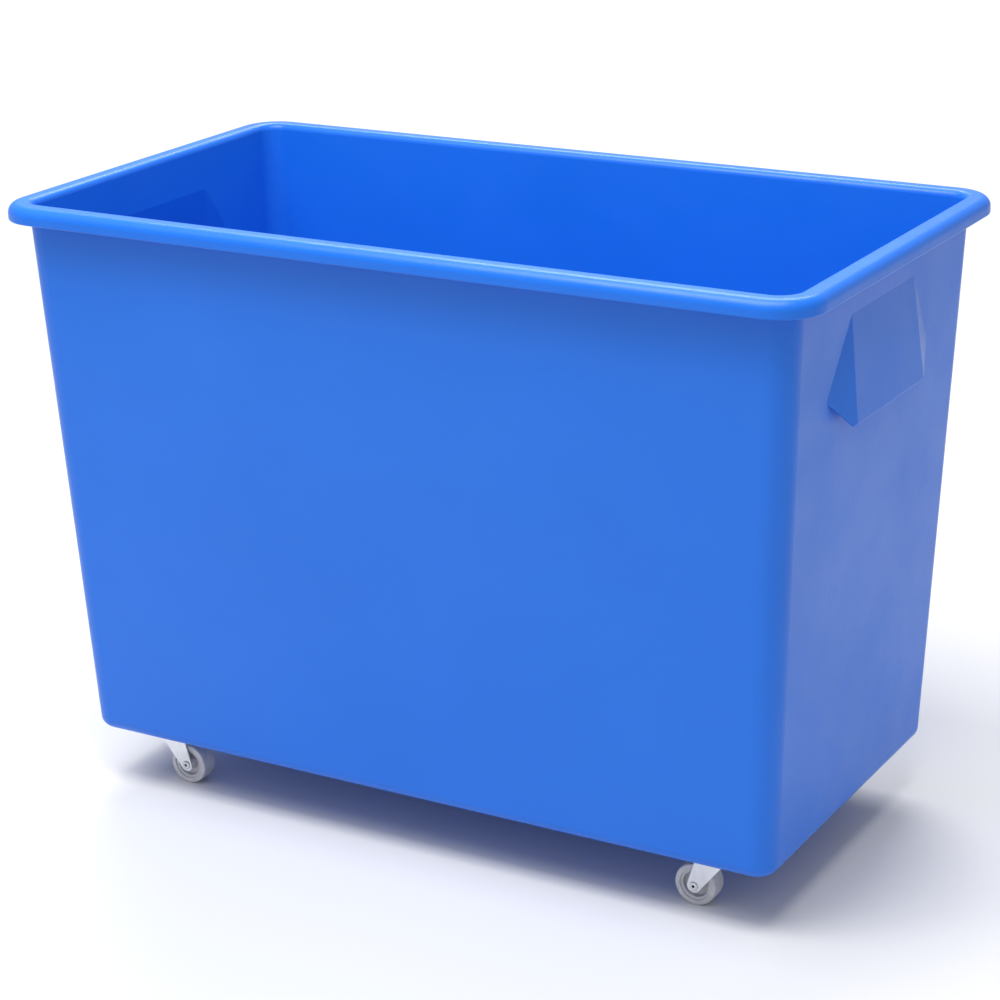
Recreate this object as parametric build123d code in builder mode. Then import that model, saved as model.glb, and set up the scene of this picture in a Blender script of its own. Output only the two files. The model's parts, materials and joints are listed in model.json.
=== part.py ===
"""Mobile container truck: a one-piece, open-topped, tapered plastic tub with a moulded
hand hold at each end, standing on four swivel castors bolted through its base.

Units are millimetres. +X runs along the length (front), +Y to the left, +Z up.
The origin is on the floor, under the middle of the tub.
"""

from build123d import *
import os

os.makedirs("parts", exist_ok=True)

# ---------------------------------------------------------------- driving dimensions
overall_length = 1020.0
overall_width = 557.0
overall_height = 734.0
castor_height = 70.0  # floor to the underside of the tub
wheel_diameter = 50.0

# Tub
wall = 5.0
base_thickness = 6.0
rim_overhang = 24.0  # how far the rim stands out from the wall
rim_depth = 20.0
end_draft = 31.0  # how far each end wall leans out from base to rim
side_draft = 29.0  # the same for the long walls
base_corner_radius = 25.0
mouth_corner_radius = 28.0
base_edge_radius = 14.0
floor_edge_radius = 9.0
rim_shoulder_radius = 12.0
mouth_edge_radius = 8.0
flange_root_radius = 4.0  # underneath, where the wall turns out into the rim
lip_edge_radius = 2.0

# Moulded hand hold, measured on the end wall
hold_top = 678.0
hold_root = 588.0  # where the underside meets the wall
hold_lip = 560.0  # the blunt lowest edge, which stands proud of the wall
hold_reach = 18.0
hold_top_half = 86.0
hold_root_half = 145.0
hold_lip_half = 93.0
hold_offset = 12.0  # sideways from the middle of the end, to the right as one faces it
hold_tip = 5.0  # thickness of the lowest edge
hold_edge_radius = 5.0
hold_lip_radius = 2.2
hold_inner_radius = 3.0
hold_bury = 1.0  # how far the wedge starts inside the wall it grows from

# Castor positions and swivel
castor_x = 367.0
castor_y = 172.0
trail = 20.0  # kingpin axis to axle, seen from above

# Castor top plate and its fastenings
plate_size = 60.0
plate_corner = 6.0
plate_thickness = 2.0
bolt_spacing = 46.0
bolt_radius = 2.5
bolt_hole_radius = 2.75
bolt_tip = 2.0  # thread showing below the nut
bolt_head_radius = 4.75
bolt_head_height = 2.75
bolt_head_round = 1.8
bolt_tip_chamfer = 0.6
socket_flats = 3.0
socket_depth = 1.5
nut_flats = 8.0
nut_height = 4.0
nut_bore_radius = 2.55
nut_crown = 0.6  # how far the nut's corners stand beyond its flats
spreader_size = 64.0
spreader_corner = 8.0
spreader_thickness = 2.0

# Swivel head
cup_outer_radius = 20.2
cup_inner_radius = 18.4
cup_depth = 4.4
cup_edge_radius = 0.6
crown_radius = 19.6
crown_thickness = 2.0
upper_ball_radius = 2.36
upper_ball_circle = 15.4
upper_ball_count = 16
lower_ball_radius = 1.56
lower_ball_circle = 7.6
lower_ball_count = 12
ball_gap = 0.04
race_radius = 11.2
race_thickness = 1.5
race_skirt = 1.0
race_skirt_height = 1.2
kingpin_radius = 4.0
kingpin_head_radius = 7.5
kingpin_head_height = 3.0
kingpin_head_taper = 1.0
kingpin_flare_radius = 5.6
running_clearance = 0.08
crown_hole_radius = 4.4

# Fork and axle
leg_inner = 13.0  # half the gap between the legs
leg_thickness = 2.0
leg_end_radius = 8.0
crown_half_length = 16.5
crown_skirt = 3.0  # depth of the straight part of the crown's sides
bend_radius = 3.0
sleeve_outer_radius = 4.2
sleeve_inner_radius = 3.05
rivet_radius = 3.0
rivet_bore_radius = 1.7
rivet_head_radius = 5.2
rivet_head_height = 1.4
rivet_head_round = 0.9

# Wheel
hub_half_width = 12.6
boss_radius = 8.6
web_half_width = 4.0
hub_rim_inner = 15.5
hub_rim_radius = 19.0
hub_rim_half_width = 9.6
tyre_base_half_width = 11.5
tyre_tread_half_width = 9.0
tyre_shoulder_radius = 22.8

# ---------------------------------------------------------------- derived places
mouth_length = overall_length - 2 * rim_overhang
mouth_width = overall_width - 2 * rim_overhang
base_length = mouth_length - 2 * end_draft
base_width = mouth_width - 2 * side_draft
tub_height = overall_height - castor_height
floor_top = castor_height + base_thickness
rim_bottom = overall_height - rim_depth

plate_bottom = castor_height - plate_thickness
crown_top = plate_bottom - 2 * upper_ball_radius - 2 * ball_gap
crown_bottom = crown_top - crown_thickness
race_top = crown_bottom - 2 * lower_ball_radius - 2 * ball_gap
race_bottom = race_top - race_thickness
nut_bottom = plate_bottom - nut_height
spreader_top = floor_top + spreader_thickness
axle_height = wheel_diameter / 2
leg_outer = leg_inner + leg_thickness
rim_corner_radius = mouth_corner_radius + rim_overhang
wheel_radius = wheel_diameter / 2

# Corner name, kingpin place, and the way the wheel trails at rest
castors = {
    "front_left": (castor_x, castor_y, 180),
    "front_right": (castor_x, -castor_y, 180),
    "rear_left": (-castor_x, castor_y, 0),
    "rear_right": (-castor_x, -castor_y, 0),
}


def wall_reach(height):
    """Distance from the middle of the tub to the outer face of an end wall at a height."""
    return base_length / 2 + end_draft * (height - castor_height) / tub_height


def save(part, name):
    """Label a finished piece and write its STEP file."""
    part.label = name
    export_step(part, f"parts/{name}.step")


def hand_hold(inset, upright_radius, low_radius, side):
    """A flared wedge on an end wall: a block trimmed by its face, its underside and two cheeks.

    Every trimmed face moves in by inset, so a second, smaller wedge hollows out the first.
    side is 1 for the front end of the tub and -1 for the rear.
    """
    centre = -side * hold_offset
    lip_x = side * (wall_reach(hold_lip) + hold_reach)
    top = Vector(side * wall_reach(hold_top), centre + hold_top_half, hold_top)
    root = Vector(side * wall_reach(hold_root), centre + hold_root_half, hold_root)
    lip = Vector(lip_x, centre + hold_lip_half, hold_lip)
    far_top = Vector(top.X, centre - hold_top_half, hold_top)
    far_root = Vector(root.X, centre - hold_root_half, hold_root)
    far_lip = Vector(lip_x, centre - hold_lip_half, hold_lip)
    tip = Vector(lip_x - side * hold_tip, centre, hold_lip)
    middle = Vector(root.X, centre, (hold_top + hold_root) / 2)
    back = side * (wall_reach(hold_root) - inset - hold_bury)

    def trim(a, b, c):
        outward = (b - a).cross(c - a).normalized()
        if outward.dot(a - middle) < 0:
            outward = outward * -1
        split(bisect_by=Plane(a - outward * inset, b - a, outward), keep=Keep.BOTTOM)

    with BuildPart() as wedge:
        with Locations((root.X, centre, hold_root)):
            Box(5 * hold_reach, 4 * hold_root_half, 4 * (hold_top - hold_lip))
        trim(top, far_top, lip)
        trim(root, far_root, tip)
        trim(top, root, lip)
        trim(far_top, far_root, far_lip)
        split(bisect_by=Plane((back, 0, 0), (0, 1, 0), (side, 0, 0)), keep=Keep.TOP)
        split(bisect_by=Plane.XY.offset(hold_lip + inset), keep=Keep.TOP)
        proud = wedge.edges().filter_by(lambda e: abs(e.center().X) > abs(back) + 0.1)
        if upright_radius > low_radius:
            fillet(proud.filter_by(lambda e: e.center().Z > middle.Z), upright_radius)
            proud = wedge.edges().filter_by(lambda e: abs(e.center().X) > abs(back) + 0.1)
            proud = proud.filter_by(lambda e: e.center().Z < middle.Z)
        fillet(proud, low_radius)
    return wedge.part


# ---------------------------------------------------------------- tub
with BuildPart() as cavity:
    with BuildSketch(Plane.XY.offset(floor_top)):
        RectangleRounded(base_length - 2 * wall, base_width - 2 * wall, base_corner_radius - wall)
    with BuildSketch(Plane.XY.offset(overall_height)):
        RectangleRounded(mouth_length - 2 * wall, mouth_width - 2 * wall, mouth_corner_radius - wall)
    loft(ruled=True)
    fillet(cavity.edges().group_by(Axis.Z)[0], floor_edge_radius)

with BuildPart() as tub:
    # Rim: a flange with a turned-down lip, open underneath
    with BuildSketch(Plane.XY.offset(rim_bottom)):
        RectangleRounded(overall_length, overall_width, rim_corner_radius)
    extrude(amount=rim_depth)
    fillet(tub.edges().group_by(Axis.Z)[-1], rim_shoulder_radius)
    with BuildSketch(Plane.XY.offset(rim_bottom)):
        RectangleRounded(overall_length - 2 * wall, overall_width - 2 * wall, rim_corner_radius - wall)
    extrude(amount=rim_depth - wall, mode=Mode.SUBTRACT)
    ceiling = overall_height - wall
    pocket_edge = tub.edges().filter_by_position(Axis.Z, ceiling - 0.01, ceiling + 0.01)
    fillet(pocket_edge, rim_shoulder_radius - wall)
    fillet(tub.edges().group_by(Axis.Z)[0], lip_edge_radius)

    # Tapered walls and base, with the two hand holds standing out of the end walls
    with BuildSketch(Plane.XY.offset(castor_height)):
        RectangleRounded(base_length, base_width, base_corner_radius)
    with BuildSketch(Plane.XY.offset(overall_height)):
        RectangleRounded(mouth_length, mouth_width, mouth_corner_radius)
    loft(ruled=True)
    fillet(tub.edges().group_by(Axis.Z)[0], base_edge_radius)
    flange_root = tub.edges().filter_by_position(Axis.Z, ceiling - 0.01, ceiling + 0.01)
    flange_root = flange_root.filter_by(
        lambda e: abs(e.center().X) < mouth_length / 2 + 1 and abs(e.center().Y) < mouth_width / 2 + 1
    )
    fillet(flange_root, flange_root_radius)
    for side in (1, -1):
        add(hand_hold(0, hold_edge_radius, hold_lip_radius, side))

    # Hollow inside, down into the hand holds
    add(cavity.part, mode=Mode.SUBTRACT)
    inner_mouth = tub.edges().group_by(Axis.Z)[-1].filter_by(
        lambda e: abs(e.center().X) < mouth_length / 2 and abs(e.center().Y) < mouth_width / 2
    )
    fillet(inner_mouth, mouth_edge_radius)
    for side in (1, -1):
        add(hand_hold(wall, hold_inner_radius, hold_inner_radius, side), mode=Mode.SUBTRACT)

    # Bolt holes for the castors
    for x, y, turn in castors.values():
        with BuildSketch(Plane.XY.offset(castor_height)):
            with Locations((x, y)):
                with GridLocations(bolt_spacing, bolt_spacing, 2, 2):
                    Circle(bolt_hole_radius)
    extrude(amount=base_thickness, mode=Mode.SUBTRACT)
save(tub.part, "tub_body")

# ---------------------------------------------------------------- castor fastenings
# Every castor piece is drawn on its own kingpin axis, wheel trailing towards +X
with BuildPart() as spreader_plate:
    with BuildSketch(Plane.XY.offset(floor_top)):
        RectangleRounded(spreader_size, spreader_size, spreader_corner)
        with GridLocations(bolt_spacing, bolt_spacing, 2, 2):
            Circle(bolt_hole_radius, mode=Mode.SUBTRACT)
    extrude(amount=spreader_thickness)

with BuildPart() as one_bolt:
    with BuildSketch(Plane.XY.offset(nut_bottom - bolt_tip)):
        Circle(bolt_radius)
    extrude(amount=spreader_top - nut_bottom + bolt_tip)
    chamfer(one_bolt.edges().group_by(Axis.Z)[0], bolt_tip_chamfer)
    with BuildSketch(Plane.XY.offset(spreader_top)):
        Circle(bolt_head_radius)
    extrude(amount=bolt_head_height)
    fillet(one_bolt.edges().group_by(Axis.Z)[-1], bolt_head_round)
    with BuildSketch(Plane.XY.offset(spreader_top + bolt_head_height)):
        RegularPolygon(socket_flats / 2, 6, major_radius=False)
    extrude(amount=-socket_depth, mode=Mode.SUBTRACT)

with BuildPart() as one_nut:
    with BuildSketch(Plane.XY.offset(nut_bottom)):
        RegularPolygon(nut_flats / 2, 6, major_radius=False)
    extrude(amount=nut_height)
    with BuildSketch(Plane.XZ):
        with BuildLine():
            Polyline(
                (0, nut_bottom),
                (nut_flats / 2, nut_bottom),
                (nut_flats / 2 + nut_crown, nut_bottom + nut_crown / 2),
                (nut_flats / 2 + nut_crown, plate_bottom),
                (0, plate_bottom),
                close=True,
            )
        make_face()
    revolve(axis=Axis.Z, mode=Mode.INTERSECT)
    with BuildSketch(Plane.XY.offset(nut_bottom)):
        Circle(nut_bore_radius)
    extrude(amount=nut_height, mode=Mode.SUBTRACT)

with BuildPart() as mounting_bolts:
    with GridLocations(bolt_spacing, bolt_spacing, 2, 2):
        add(one_bolt.part)

with BuildPart() as mounting_nuts:
    with GridLocations(bolt_spacing, bolt_spacing, 2, 2):
        add(one_nut.part)

# ---------------------------------------------------------------- swivel head
with BuildPart() as top_plate:
    with BuildSketch(Plane.XY.offset(plate_bottom)):
        RectangleRounded(plate_size, plate_size, plate_corner)
        with GridLocations(bolt_spacing, bolt_spacing, 2, 2):
            Circle(bolt_hole_radius, mode=Mode.SUBTRACT)
    extrude(amount=plate_thickness)
    with BuildSketch(Plane.XY.offset(plate_bottom)):
        Circle(cup_outer_radius)
        Circle(cup_inner_radius, mode=Mode.SUBTRACT)
    extrude(amount=-cup_depth)
    fillet(top_plate.edges().group_by(Axis.Z)[0], cup_edge_radius)
    with BuildSketch(Plane.XZ):
        with BuildLine():
            Polyline(
                (0, plate_bottom),
                (kingpin_radius, plate_bottom),
                (kingpin_flare_radius, castor_height),
                (0, castor_height),
                close=True,
            )
        make_face()
    revolve(axis=Axis.Z, mode=Mode.SUBTRACT)

with BuildPart() as upper_balls:
    with Locations((0, 0, plate_bottom - ball_gap - upper_ball_radius)):
        with PolarLocations(upper_ball_circle, upper_ball_count):
            Sphere(upper_ball_radius)

with BuildPart() as lower_balls:
    with Locations((0, 0, crown_bottom - ball_gap - lower_ball_radius)):
        with PolarLocations(lower_ball_circle, lower_ball_count):
            Sphere(lower_ball_radius)

with BuildPart() as lower_race:
    with BuildSketch(Plane.XY.offset(race_bottom)):
        Circle(race_radius)
    extrude(amount=race_thickness + race_skirt_height)
    with BuildSketch(Plane.XY.offset(race_top)):
        Circle(race_radius - race_skirt)
    extrude(amount=race_skirt_height, mode=Mode.SUBTRACT)
    with BuildSketch(Plane.XY.offset(race_bottom)):
        Circle(kingpin_radius)
    extrude(amount=race_thickness, mode=Mode.SUBTRACT)

with BuildPart() as kingpin:
    with BuildSketch(Plane.XZ):
        with BuildLine():
            Polyline(
                (0, race_bottom - kingpin_head_height),
                (kingpin_head_radius - kingpin_head_taper, race_bottom - kingpin_head_height),
                (kingpin_head_radius, race_bottom - kingpin_head_height + kingpin_head_taper),
                (kingpin_head_radius, race_bottom),
                (kingpin_radius, race_bottom),
                (kingpin_radius, plate_bottom),
                (kingpin_flare_radius, castor_height),
                (0, castor_height),
                close=True,
            )
        make_face()
    revolve(axis=Axis.Z)

# ---------------------------------------------------------------- fork and axle
with BuildPart() as fork:
    with BuildSketch(Plane.XZ):
        with BuildLine():
            Polyline(
                (-crown_half_length, crown_top),
                (-crown_half_length, crown_bottom - crown_skirt),
                (crown_half_length, crown_bottom - crown_skirt),
                (crown_half_length, crown_top),
                close=True,
            )
            CenterArc((trail, axle_height), leg_end_radius, 0, 360)
        make_hull()
    extrude(amount=leg_outer, both=True)
    fillet(fork.edges().group_by(Axis.Z)[-1].filter_by(Axis.X), bend_radius)
    with BuildPart(mode=Mode.PRIVATE) as wheel_space:
        with Locations((0, 0, crown_bottom)):
            Box(
                2 * crown_half_length + 4 * trail,
                2 * leg_inner,
                crown_bottom,
                align=(Align.CENTER, Align.CENTER, Align.MAX),
            )
        fillet(wheel_space.edges().group_by(Axis.Z)[-1].filter_by(Axis.X), bend_radius - leg_thickness)
    add(wheel_space.part, mode=Mode.SUBTRACT)
    with BuildSketch(Plane.XY.offset(crown_bottom)):
        Circle(crown_radius)
    extrude(amount=crown_thickness)
    with BuildSketch(Plane.XY.offset(crown_bottom)):
        Circle(crown_hole_radius)
    extrude(amount=crown_thickness, mode=Mode.SUBTRACT)
    with BuildSketch(Plane.XZ):
        with Locations((trail, axle_height)):
            Circle(sleeve_inner_radius)
    extrude(amount=leg_outer, both=True, mode=Mode.SUBTRACT)

with BuildPart() as axle_sleeve:
    with BuildSketch(Plane.XZ):
        with Locations((trail, axle_height)):
            Circle(sleeve_outer_radius)
            Circle(sleeve_inner_radius, mode=Mode.SUBTRACT)
    extrude(amount=leg_inner, both=True)

with BuildPart() as axle_rivet:
    with BuildSketch(Plane.XZ):
        with Locations((trail, axle_height)):
            Circle(rivet_head_radius)
    extrude(amount=leg_outer + rivet_head_height, both=True)
    fillet(axle_rivet.edges(), rivet_head_round)
    with BuildSketch(Plane.XZ):
        with Locations((trail, axle_height)):
            Circle(rivet_head_radius)
            Circle(rivet_radius, mode=Mode.SUBTRACT)
    extrude(amount=leg_outer, both=True, mode=Mode.SUBTRACT)
    with BuildSketch(Plane.XZ):
        with Locations((trail, axle_height)):
            Circle(rivet_bore_radius)
    extrude(amount=leg_outer + rivet_head_height, both=True, mode=Mode.SUBTRACT)

# ---------------------------------------------------------------- wheel
axle = Axis((trail, 0, axle_height), (0, 1, 0))

# Hub and tyre are turned from half sections drawn on the YZ plane through the axle
with BuildPart() as wheel_hub:
    with BuildSketch(Plane((trail, 0, axle_height), (0, 1, 0), (1, 0, 0))):
        with BuildLine():
            Polyline(
                (-hub_half_width, sleeve_outer_radius + running_clearance),
                (-hub_half_width, boss_radius),
                (-web_half_width, boss_radius),
                (-web_half_width, hub_rim_inner),
                (-hub_rim_half_width, hub_rim_inner),
                (-hub_rim_half_width, hub_rim_radius),
                (hub_rim_half_width, hub_rim_radius),
                (hub_rim_half_width, hub_rim_inner),
                (web_half_width, hub_rim_inner),
                (web_half_width, boss_radius),
                (hub_half_width, boss_radius),
                (hub_half_width, sleeve_outer_radius + running_clearance),
                close=True,
            )
        make_face()
    revolve(axis=axle)

with BuildPart() as wheel_tyre:
    with BuildSketch(Plane((trail, 0, axle_height), (0, 1, 0), (1, 0, 0))):
        with BuildLine():
            Line((-tyre_base_half_width, hub_rim_radius), (tyre_base_half_width, hub_rim_radius))
            Line((tyre_base_half_width, hub_rim_radius), (tyre_base_half_width, tyre_shoulder_radius))
            Spline(
                (tyre_base_half_width, tyre_shoulder_radius),
                (tyre_tread_half_width, wheel_radius),
                tangents=((0, 1), (-1, 0)),
            )
            Line((tyre_tread_half_width, wheel_radius), (-tyre_tread_half_width, wheel_radius))
            Spline(
                (-tyre_tread_half_width, wheel_radius),
                (-tyre_base_half_width, tyre_shoulder_radius),
                tangents=((-1, 0), (0, -1)),
            )
            Line((-tyre_base_half_width, tyre_shoulder_radius), (-tyre_base_half_width, hub_rim_radius))
        make_face()
    revolve(axis=axle)

# ---------------------------------------------------------------- the four castors in place
castor_pieces = {
    "spreader_plate": spreader_plate,
    "mounting_bolts": mounting_bolts,
    "mounting_nuts": mounting_nuts,
    "top_plate": top_plate,
    "upper_balls": upper_balls,
    "lower_balls": lower_balls,
    "lower_race": lower_race,
    "kingpin": kingpin,
    "fork": fork,
    "axle_sleeve": axle_sleeve,
    "axle_rivet": axle_rivet,
    "wheel_hub": wheel_hub,
    "wheel_tyre": wheel_tyre,
}
for corner, (x, y, turn) in castors.items():
    place = Location((x, y, 0), (0, 0, turn))
    for piece, drawing in castor_pieces.items():
        save(drawing.part.moved(place), f"{corner}_{piece}")
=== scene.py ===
"""Looks for the mobile container truck: materials, light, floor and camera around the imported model.

Everything is in metres in the model's own frame: +X along the tub, +Y across it, +Z up, floor at zero.
"""

import json
import math

import bpy
from mathutils import Matrix, Vector

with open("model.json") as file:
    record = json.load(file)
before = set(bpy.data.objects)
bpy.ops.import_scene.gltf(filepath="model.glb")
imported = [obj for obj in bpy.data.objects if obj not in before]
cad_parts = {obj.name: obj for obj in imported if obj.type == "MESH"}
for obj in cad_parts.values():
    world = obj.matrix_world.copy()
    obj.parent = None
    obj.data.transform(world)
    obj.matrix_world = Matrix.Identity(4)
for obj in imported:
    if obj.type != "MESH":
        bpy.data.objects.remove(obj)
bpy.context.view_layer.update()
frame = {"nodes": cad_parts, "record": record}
nodes = frame["nodes"]

# Sockets of the colour Mix node
MIX_FACTOR, MIX_FIRST, MIX_SECOND = 0, 6, 7
MIX_COLOUR = 2

# Where most of a noise texture's values lie
NOISE_BAND = (0.3, 0.7)

# Scuffs on the tub fade out between these heights
SCUFF_TOP = 0.20
SCUFF_FULL = 0.08

FLOOR_HALF_SIDE = 20.0
SKY_STRENGTH = 0.50
SENSOR_WIDTH = 36.0  # mm


# ---------------------------------------------------------------- node helpers
class Shader:
    """A material with one Principled shader, and short calls for the nodes that feed it."""

    def __init__(self, name):
        self.material = bpy.data.materials.new(name)
        self.material.use_nodes = True
        self.tree = self.material.node_tree
        self.surface = self.tree.nodes["Principled BSDF"]
        coordinates = self.tree.nodes.new("ShaderNodeTexCoord")
        self.place = coordinates.outputs["Object"]

    def link(self, source, socket):
        self.tree.links.new(source, socket)

    def set(self, **sockets):
        for name, value in sockets.items():
            self.surface.inputs[name.replace("_", " ")].default_value = value

    def stretched(self, scale):
        node = self.tree.nodes.new("ShaderNodeMapping")
        node.inputs["Scale"].default_value = scale
        self.link(self.place, node.inputs["Vector"])
        return node.outputs["Vector"]

    def noise(self, scale, detail=2.0, roughness=0.5, place=None, distortion=0.0):
        node = self.tree.nodes.new("ShaderNodeTexNoise")
        node.inputs["Scale"].default_value = scale
        node.inputs["Detail"].default_value = detail
        node.inputs["Roughness"].default_value = roughness
        node.inputs["Distortion"].default_value = distortion
        self.link(place or self.place, node.inputs["Vector"])
        return node.outputs["Fac"]

    def ramp(self, value, low, high, out_low=0.0, out_high=1.0):
        node = self.tree.nodes.new("ShaderNodeMapRange")
        node.inputs["From Min"].default_value = low
        node.inputs["From Max"].default_value = high
        node.inputs["To Min"].default_value = out_low
        node.inputs["To Max"].default_value = out_high
        self.link(value, node.inputs["Value"])
        return node.outputs["Result"]

    def math(self, operation, first, second):
        node = self.tree.nodes.new("ShaderNodeMath")
        node.operation = operation
        for socket, value in zip(node.inputs, (first, second)):
            if isinstance(value, float):
                socket.default_value = value
            else:
                self.link(value, socket)
        return node.outputs["Value"]

    def mix(self, factor, first, second):
        node = self.tree.nodes.new("ShaderNodeMix")
        node.data_type = "RGBA"
        self.link(factor, node.inputs[MIX_FACTOR])
        for number, value in ((MIX_FIRST, first), (MIX_SECOND, second)):
            socket = node.inputs[number]
            if isinstance(value, tuple):
                socket.default_value = (*value, 1.0)
            else:
                self.link(value, socket)
        return node.outputs[MIX_COLOUR]

    def height(self):
        node = self.tree.nodes.new("ShaderNodeSeparateXYZ")
        self.link(self.place, node.inputs["Vector"])
        return node.outputs["Z"]

    def bumps(self, *layers):
        """Stack (height value, strength, distance) layers and send the normal to the shader."""
        normal = None
        for value, strength, distance in layers:
            node = self.tree.nodes.new("ShaderNodeBump")
            node.inputs["Strength"].default_value = strength
            node.inputs["Distance"].default_value = distance
            self.link(value, node.inputs["Height"])
            if normal:
                self.link(normal, node.inputs["Normal"])
            normal = node.outputs["Normal"]
        self.link(normal, self.surface.inputs["Normal"])


# ---------------------------------------------------------------- materials
def moulded_blue():
    """Rotomoulded polyethylene: orange peel, a slow waviness, faint flow clouds and light scuffs."""
    s = Shader("rotomoulded_blue")
    clouds = s.ramp(s.noise(3.0, 3.0, 0.55, distortion=0.4), *NOISE_BAND)
    colour = s.mix(clouds, (0.008, 0.146, 0.680), (0.011, 0.158, 0.720))
    specks = s.ramp(s.noise(900.0, 2.0), 0.62, 0.78)
    colour = s.mix(s.math("MULTIPLY", specks, 0.12), colour, (0.03, 0.22, 0.80))
    low = s.ramp(s.height(), SCUFF_TOP, SCUFF_FULL)
    streaks = s.ramp(s.noise(9.0, 6.0, 0.7, s.stretched((1.0, 1.0, 9.0))), 0.60, 0.78)
    scuffs = s.math("MULTIPLY", s.math("MULTIPLY", streaks, low), 0.25)
    colour = s.mix(scuffs, colour, (0.10, 0.22, 0.62))
    s.link(colour, s.surface.inputs["Base Color"])
    gloss = s.ramp(s.noise(14.0, 4.0, 0.6), *NOISE_BAND, 0.30, 0.40)
    s.link(s.math("ADD", gloss, s.math("MULTIPLY", scuffs, 0.6)), s.surface.inputs["Roughness"])
    s.set(IOR=1.51, Specular_IOR_Level=0.32)
    s.bumps(
        (s.noise(4.5, 2.0), 0.35, 0.006),
        (s.noise(150.0, 3.0, 0.45), 0.22, 0.0006),
        (s.noise(900.0, 2.0), 0.10, 0.0002),
    )
    return s.material


def zinc_plate():
    """Bright zinc on pressed steel: cool grey with soft blooms, rolling lines and fine scratches."""
    s = Shader("bright_zinc")
    bloom = s.ramp(s.noise(45.0, 4.0, 0.6, distortion=0.6), *NOISE_BAND)
    colour = s.mix(bloom, (0.62, 0.64, 0.67), (0.73, 0.74, 0.76))
    s.link(colour, s.surface.inputs["Base Color"])
    lines = s.noise(60.0, 3.0, 0.6, s.stretched((1.0, 20.0, 20.0)))
    s.link(s.ramp(bloom, 0.0, 1.0, 0.38, 0.28), s.surface.inputs["Roughness"])
    s.set(Metallic=1.0)
    s.bumps((lines, 0.05, 0.0001), (s.noise(260.0, 3.0), 0.05, 0.0001))
    return s.material


def bright_steel():
    """Turned and headed steel pieces, zinc plated: smoother and a little darker than the pressings."""
    s = Shader("turned_steel")
    bloom = s.ramp(s.noise(120.0, 3.0, 0.6), *NOISE_BAND)
    colour = s.mix(bloom, (0.50, 0.51, 0.54), (0.66, 0.66, 0.68))
    s.link(colour, s.surface.inputs["Base Color"])
    s.link(s.ramp(bloom, 0.0, 1.0, 0.34, 0.20), s.surface.inputs["Roughness"])
    s.set(Metallic=1.0)
    rings = s.noise(300.0, 2.0, 0.5, s.stretched((1.0, 1.0, 6.0)))
    s.bumps((rings, 0.10, 0.0001))
    return s.material


def polished_steel():
    """Bearing balls: near mirror with a faint film of grease."""
    s = Shader("bearing_steel")
    film = s.ramp(s.noise(400.0, 3.0), 0.35, 0.65)
    s.link(s.mix(film, (0.72, 0.73, 0.75), (0.62, 0.60, 0.56)), s.surface.inputs["Base Color"])
    s.link(s.ramp(film, 0.0, 1.0, 0.08, 0.26), s.surface.inputs["Roughness"])
    s.set(Metallic=1.0)
    s.bumps((film, 0.04, 0.0001))
    return s.material


def grey_hub():
    """Moulded grey nylon with a fine spark-eroded texture."""
    s = Shader("grey_nylon")
    clouds = s.ramp(s.noise(60.0, 3.0), *NOISE_BAND)
    colour = s.mix(clouds, (0.50, 0.51, 0.55), (0.58, 0.59, 0.63))
    s.link(colour, s.surface.inputs["Base Color"])
    s.link(s.ramp(clouds, 0.0, 1.0, 0.42, 0.52), s.surface.inputs["Roughness"])
    s.bumps((s.noise(1400.0, 2.0), 0.20, 0.0002), (s.noise(200.0, 2.0), 0.08, 0.0003))
    return s.material


def grey_tyre():
    """Non-marking grey rubber: matt, dusty on the tread, with a faint grain."""
    s = Shader("grey_rubber")
    dust = s.ramp(s.noise(90.0, 5.0, 0.65), 0.45, 0.7)
    colour = s.mix(dust, (0.50, 0.50, 0.54), (0.64, 0.63, 0.66))
    s.link(colour, s.surface.inputs["Base Color"])
    s.link(s.ramp(dust, 0.0, 1.0, 0.52, 0.72), s.surface.inputs["Roughness"])
    s.bumps((s.noise(800.0, 3.0, 0.6), 0.25, 0.0003), (s.noise(120.0, 2.0), 0.10, 0.0005))
    return s.material


def pale_floor():
    """A seamless white studio floor, very slightly uneven in tone."""
    s = Shader("studio_floor")
    tone = s.ramp(s.noise(0.8, 2.0), *NOISE_BAND)
    s.link(s.mix(tone, (0.70, 0.70, 0.71), (0.73, 0.73, 0.74)), s.surface.inputs["Base Color"])
    s.set(Roughness=0.75)
    s.bumps((s.noise(300.0, 2.0), 0.03, 0.0005))
    return s.material


FINISHES = {
    "tub_plastic": moulded_blue(),
    "zinc_plate": zinc_plate(),
    "bright_steel": bright_steel(),
    "polished_steel": polished_steel(),
    "hub_plastic": grey_hub(),
    "tyre_rubber": grey_tyre(),
}
for entry in frame["record"]["subparts"]:
    node = nodes[entry["node"]]
    node.data.materials.clear()
    node.data.materials.append(FINISHES[entry["material_slot"]])


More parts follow.
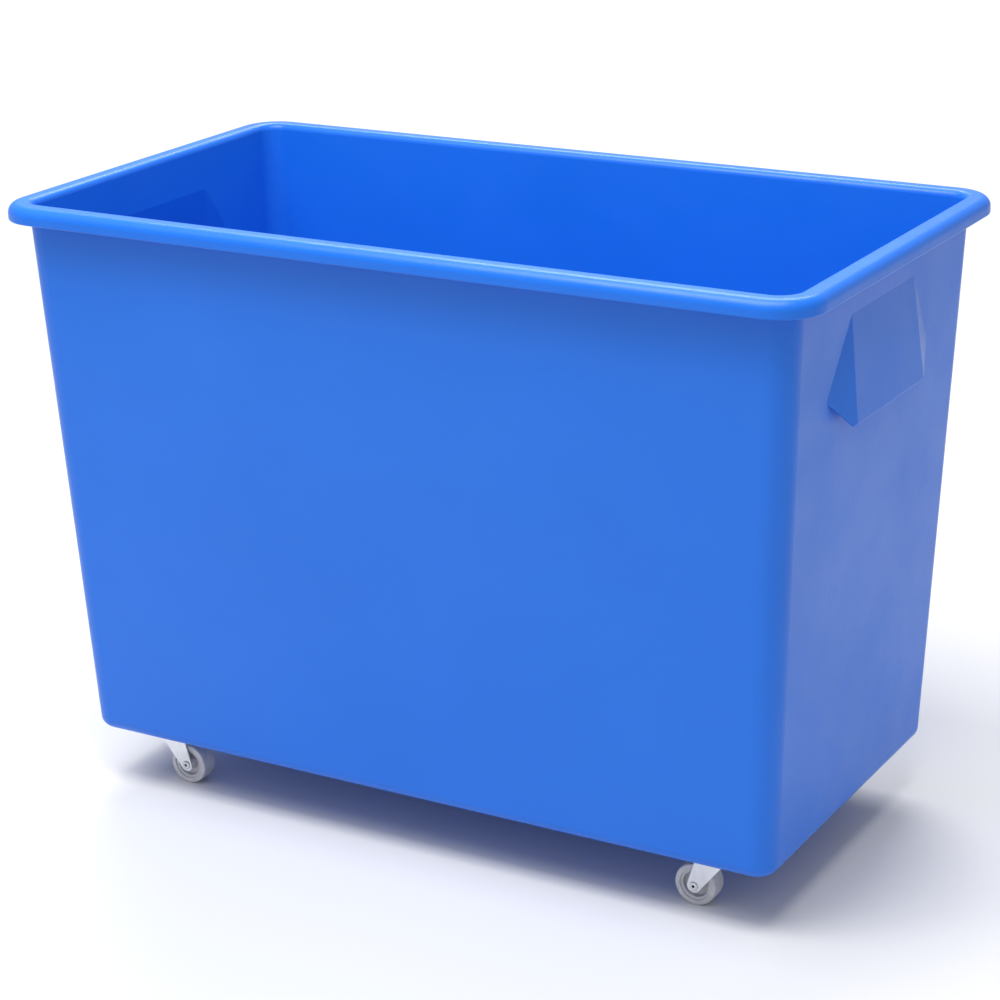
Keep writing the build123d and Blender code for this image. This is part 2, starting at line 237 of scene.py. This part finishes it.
# ---------------------------------------------------------------- floor, light and camera
def floor_square(half, material):
    mesh = bpy.data.meshes.new("studio_floor")
    corners = [(-half, -half, 0), (half, -half, 0), (half, half, 0), (-half, half, 0)]
    mesh.from_pydata(corners, [], [(0, 1, 2, 3)])
    mesh.materials.append(material)
    disc = bpy.data.objects.new("studio_floor", mesh)
    bpy.context.scene.collection.objects.link(disc)


def softbox(name, place, target, size, power):
    """A white rectangular lamp of this size in metres and power in watts, facing its target."""
    light = bpy.data.lights.new(name, "AREA")
    light.shape = "RECTANGLE"
    light.size, light.size_y = size
    light.energy = power
    lamp = bpy.data.objects.new(name, light)
    lamp.location = place
    aim = Vector(target) - Vector(place)
    lamp.rotation_euler = aim.to_track_quat("-Z", "Y").to_euler()
    bpy.context.scene.collection.objects.link(lamp)


def studio_camera(place, heading, dip, tilt, lens):
    """heading turns left from +Y, dip looks down, tilt rolls the picture, in degrees. lens is in mm."""
    data = bpy.data.cameras.new("product_camera")
    data.lens = lens
    data.sensor_width = SENSOR_WIDTH
    camera = bpy.data.objects.new("product_camera", data)
    turn = (
        Matrix.Rotation(math.radians(heading), 4, "Z")
        @ Matrix.Rotation(math.radians(90.0 - dip), 4, "X")
        @ Matrix.Rotation(math.radians(tilt), 4, "Z")
    )
    camera.matrix_world = Matrix.Translation(place) @ turn
    bpy.context.scene.collection.objects.link(camera)
    bpy.context.scene.camera = camera


floor_square(FLOOR_HALF_SIDE, pale_floor())
softbox(
    "key_softbox",
    place=(-1.0, -2.2, 3.5),
    target=(0.0, 0.0, 0.40),
    size=(2.2, 1.2),
    power=34.0,
)
softbox(
    "overhead_bank",
    place=(0.0, -0.9, 3.2),
    target=(0.0, 0.1, 0.4),
    size=(2.6, 1.4),
    power=92.0,
)
softbox(
    "background_wash",
    place=(-4.0, 8.0, 9.0),
    target=(-4.0, 8.0, 0.0),
    size=(8.0, 7.0),
    power=1300.0,
)

world = bpy.data.worlds.new("studio_air")
world.use_nodes = True
sky = world.node_tree.nodes["Background"]
sky.inputs["Color"].default_value = (1.0, 1.0, 1.0, 1.0)
sky.inputs["Strength"].default_value = SKY_STRENGTH
bpy.context.scene.world = world

bpy.context.scene.view_settings.view_transform = "Standard"

studio_camera(
    place=(1.531, -2.6333, 1.4333),
    heading=30.18,
    dip=19.29,
    tilt=-1.20,
    lens=97.8,
)
